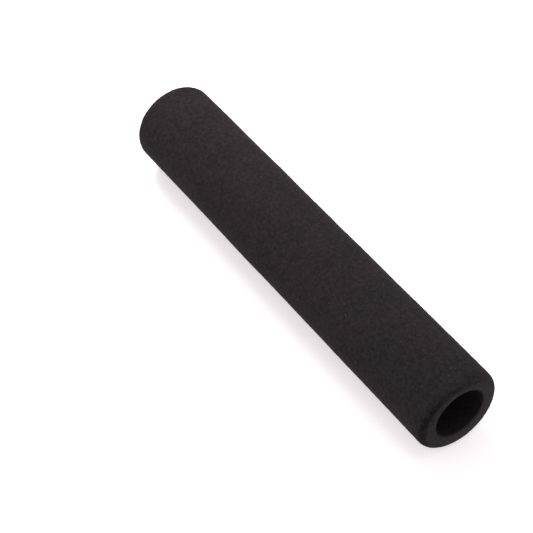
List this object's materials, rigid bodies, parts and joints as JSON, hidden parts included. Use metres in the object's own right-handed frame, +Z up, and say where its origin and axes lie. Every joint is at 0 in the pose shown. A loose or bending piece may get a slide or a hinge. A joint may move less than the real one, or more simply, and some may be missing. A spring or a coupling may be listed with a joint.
{
  "type": "scooter handlebar grip",
  "caption": "Slip-on foam handlebar grip: a soft round tube with rounded ends and a plain bore right through, lying on its side.",
  "frame": {"origin": "on the resting surface, under the middle of the grip's length and of its width", "axes": "+X along the grip's length, parallel to its bore; +Z up from the strip that it lies on"},
  "size_m": [0.175, 0.032, 0.0317],
  "materials": {
    "foam": "matte ground closed-cell foam, fine grained"
  },
  "bodies": {
    "root": {"foam_grip": "foam"}
  },
  "joints": []
}
